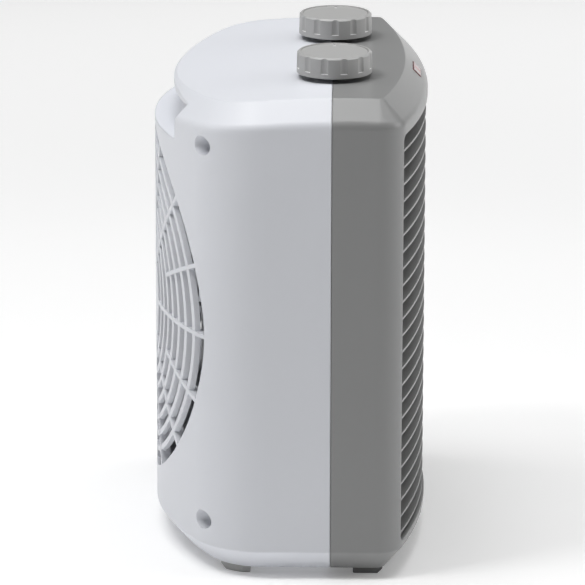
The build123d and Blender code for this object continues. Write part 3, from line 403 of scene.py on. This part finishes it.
nodeFinish = {
    "rear_shell": casingPlastic, "front_shell": frontPlastic, "front_grille": grillePlastic,
    "selector_knob": selectorPlastic, "thermostat_knob": thermostatPlastic,
    "selector_spindle": groundSteel, "thermostat_spindle": groundSteel,
    "selector_switch": blackPlastic, "thermostat": creamPlastic, "control_plate": zincSteel,
    "spindle_nuts": zincSteel, "control_screws": zincSteel, "case_screws": zincSteel,
    "deck_screws": zincSteel, "baffle_screws": zincSteel, "frame_screws": zincSteel,
    "fan_deck": deckPlastic, "fan_impeller": fanPlastic, "motor_shaft": groundSteel,
    "motor_rotor": coreSteel, "motor_stack": coreSteel, "motor_coil": copperWinding,
    "rear_bearing_bracket": zincSteel, "front_bearing_bracket": zincSteel,
    "motor_bearings": bearingBronze, "motor_bolts": zincSteel, "motor_nuts": zincSteel,
    "baffle_plate": darkSheet, "element_frame": frameMoulding, "heat_fins": finAluminium,
    "ceramic_bars": ceramicBody, "element_terminals": platedTab, "thermal_cutout": platedTab,
    "pilot_lens": lensRed, "pilot_lamp": lampGlass, "rear_feet": footLight,
    "front_feet": footDark, "cord_bush": blackPlastic, "cord_clamp": blackPlastic,
    "clamp_screws": zincSteel, "terminal_block": creamPlastic,
}
for name, finish in nodeFinish.items():
    slots = nodes[name].data.materials
    slots.clear()
    slots.append(finish)
print("CAD nodes dressed")


def settleOrder(elements, key):
    # one order in every run, because some mesh operators leave it to chance
    ranks = {element: rank for rank, element in enumerate(sorted(elements, key=key))}
    elements.sort(key=ranks.get)
    elements.index_update()


def meshObject(name, mesh, material):
    settleOrder(mesh.verts, lambda vert: tuple(vert.co))
    settleOrder(mesh.faces, lambda face: sorted(vert.index for vert in face.verts))
    data = bpy.data.meshes.new(name)
    mesh.to_mesh(data)
    mesh.free()
    data.materials.append(material)
    made = bpy.data.objects.new(name, data)
    bpy.context.scene.collection.objects.link(made)
    return made


def newPiece(name, mesh, material, body):
    piece = meshObject(name, mesh, material)
    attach(piece, body)
    return piece


finPack = {"pitch": 2.5, "bend": 0.45, "strip": 0.2, "rows": 5, "barHeight": 5.0}


def foldedFins():
    # thin aluminium strip folded between the heating bars, one strip for each row
    low, high = (Vector(corner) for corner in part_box("heat_fins"))
    rows, bar = finPack["rows"], finPack["barHeight"] * mm
    tall = (high.z - low.z - bar * (rows - 1)) / rows
    folds = int((high.x - low.x) / (finPack["pitch"] * mm))
    pitch = (high.x - low.x - 2 * finPack["strip"] * mm) / folds
    bend = finPack["bend"] * mm
    half = finPack["strip"] * mm / 2
    whole = bmesh.new()
    for row in range(rows):
        base = low.z + row * (tall + bar) + half
        crest = base + tall - 2 * half
        path = []
        for fold in range(folds):
            left = low.x + finPack["strip"] * mm + fold * pitch
            path += [(left, base), (left + pitch / 2 - bend, crest),
                     (left + pitch / 2, crest), (left + pitch - bend, base)]
        spots = [whole.verts.new((x, low.y + half, z)) for x, z in path]
        edges = [whole.edges.new(pair) for pair in zip(spots, spots[1:])]
        made = bmesh.ops.extrude_edge_only(whole, edges=edges)["geom"]
        moved = [item for item in made if isinstance(item, bmesh.types.BMVert)]
        bmesh.ops.translate(whole, verts=moved, vec=(0.0, high.y - low.y - 2 * half, 0.0))
    bmesh.ops.recalc_face_normals(whole, faces=whole.faces)
    bmesh.ops.solidify(whole, geom=whole.faces[:], thickness=finPack["strip"] * mm)
    piece = newPiece("folded_fins", whole, finAluminium, "casing")
    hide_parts("heat_fins")


screwFaces = {
    # node: way its heads face along Y
    "baffle_screws": -1, "frame_screws": -1, "case_screws": 1, "deck_screws": 1,
}
driveCross = {
    "reach": 0.56, "width": 0.17,   # shares of the head
    "proud": 0.04, "sunk": 0.12, "bevel": 0.03, "weld": 0.001,
}


def screwDrives(node, facing):
    # a cross recess for each screw, shown by a dark inlay of painted shade in its head
    copy = bmesh.new()
    copy.from_mesh(nodes[node].data)
    bmesh.ops.remove_doubles(copy, verts=copy.verts, dist=driveCross["weld"] * mm)
    left = set(copy.verts)
    crosses = bmesh.new()
    for first in copy.verts:
        if first not in left:
            continue
        left.discard(first)
        island = [first]
        for vert in island:
            for edge in vert.link_edges:
                other = edge.other_vert(vert)
                if other in left:
                    left.discard(other)
                    island.append(other)
        xs, ys, zs = zip(*(vert.co for vert in island))
        middle = Vector(((min(xs) + max(xs)) / 2, 0.0, (min(zs) + max(zs)) / 2))
        middle.y = max(ys) if facing > 0 else min(ys)
        head = max(xs) - min(xs)
        depth = (driveCross["proud"] + driveCross["sunk"]) * mm
        middle.y += facing * (driveCross["proud"] * mm - depth / 2)
        for turn in (0, 1):
            bar = bmesh.ops.create_cube(crosses, size=1.0)["verts"]
            size = (head * driveCross["reach"], depth, head * driveCross["width"])
            bmesh.ops.scale(crosses, verts=bar, vec=size if turn else size[::-1])
            bmesh.ops.translate(crosses, verts=bar, vec=middle)
    copy.free()
    bmesh.ops.bevel(crosses, geom=crosses.edges[:], offset=driveCross["bevel"] * mm, segments=1,
                    profile=0.5, affect="EDGES", material=-1)
    newPiece(node.replace("screws", "drives"), crosses, driveShade, "casing")


foldedFins()
for node, facing in screwFaces.items():
    screwDrives(node, facing)
print("fins and screw drives made")

studio = {
    # sizes and places in metres
    "floorSize": 9.0, "floorCells": 8, "floorColour": (0.95, 0.95, 0.95), "floorVary": 0.005,
    "floorFibre": 180.0,   # millimetres
    # pairs of distance from the middle and glow there
    "floorGlow": [(0.10, 0.15), (0.34, 0.08), (0.60, 0.10), (1.3, 0.27), (2.4, 0.85), (4.4, 0.95)],
    "worldStrength": 0.003, "backdrop": 0.97,
    "topPower": 33.1, "topSize": 1.5, "topPlace": (-0.07, 0.05, 2.3),
    "upperRearPower": 6.0, "upperRearSize": 1.0, "upperRearPlace": (0.2, 1.3, 1.9),
    "upperFrontPower": 4.9, "upperFrontSize": 1.0, "upperFrontPlace": (0.2, -1.3, 1.9),
    "rearPower": 6.3, "rearSize": 1.2, "rearPlace": (0.1, 2.3, 1.0),
    "frontPower": 15.0, "frontSize": 1.2, "frontPlace": (0.1, -2.3, 1.0),
    "keyPower": 4.6, "keySize": 0.25, "keyPlace": (-0.35, 0.55, 1.4),
    "farPower": 4.8, "farSize": 1.4, "farPlace": (2.6, -0.9, 0.7),
    "aim": (0.0, 0.0, 0.1),
}
lightNames = ("top", "upperRear", "upperFront", "rear", "front", "key", "far")


def buildFloor():
    mesh = bmesh.new()
    cells = studio["floorCells"]
    bmesh.ops.create_grid(mesh, x_segments=cells, y_segments=cells, size=studio["floorSize"] / 2)
    material, shader, start, place = startMaterial("floorPaper", {
        "Roughness": 0.9, "Emission Strength": 1.0,
    })
    reach = place.vectorMath("LENGTH", place, out=1)
    glow = 0.0
    levels = studio["floorGlow"]
    for (near, first), (far, second) in zip(levels, levels[1:]):
        rise = start.make("MapRange", {"interpolation_type": "SMOOTHSTEP"},
                          {0: reach, 1: near, 2: far, 3: 0.0, 4: second - first})
        glow = rise + glow
    feed(shader, "Emission Color", glow + levels[0][1])
    fibre = noise(place, studio["floorFibre"])
    colour, vary = studio["floorColour"], studio["floorVary"]
    feed(shader, "Base Color", mixColours(fibre, shade(colour, 1 - vary), shade(colour, 1 + vary)))
    meshObject("floor", mesh, material)


def softBox(name):
    light = bpy.data.lights.new(name, "AREA")
    light.shape = "SQUARE"
    light.size = studio[name + "Size"]
    light.energy = studio[name + "Power"]
    lamp = bpy.data.objects.new(name, light)
    lamp.location = studio[name + "Place"]
    way = Vector(studio["aim"]) - Vector(lamp.location)
    lamp.rotation_euler = way.to_track_quat("-Z", "Y").to_euler()
    bpy.context.scene.collection.objects.link(lamp)


def buildWorld():
    world = bpy.data.worlds.new("studio")
    world.use_nodes = True
    back = world.node_tree.nodes["Background"]
    back.inputs["Color"].default_value = (1.0, 1.0, 1.0, 1.0)
    seen = Sock(world.node_tree).make("LightPath")  # the backdrop is bright for the camera alone
    strength = studio["worldStrength"]
    feed(back, "Strength", seen * (studio["backdrop"] - strength) + strength)
    bpy.context.scene.world = world


# the photograph's viewpoint, from the -X side and a little above, in metres
view = {"place": (-2.27225, -0.03340, 0.76214), "look": (0.9623, 0.0138, -0.2716),
        "right": (0.015, -1.0, 0.002), "lens": 279.52, "sensor": 36.0, "nearest": 0.05}


def buildCamera():
    back = -Vector(view["look"]).normalized()
    right = Vector(view["right"])
    right = (right - back * right.dot(back)).normalized()
    up = back.cross(right)
    data = bpy.data.cameras.new("camera")
    data.lens = view["lens"]
    data.sensor_width = view["sensor"]
    data.clip_start = view["nearest"]
    camera = bpy.data.objects.new("camera", data)
    turn = Matrix((right, up, back)).transposed().to_4x4()
    camera.matrix_world = Matrix.Translation(view["place"]) @ turn
    bpy.context.scene.collection.objects.link(camera)
    bpy.context.scene.camera = camera


buildFloor()
buildWorld()
for name in lightNames:
    softBox(name)
buildCamera()
bpy.context.scene.view_settings.view_transform = "Standard"
print("studio ready")
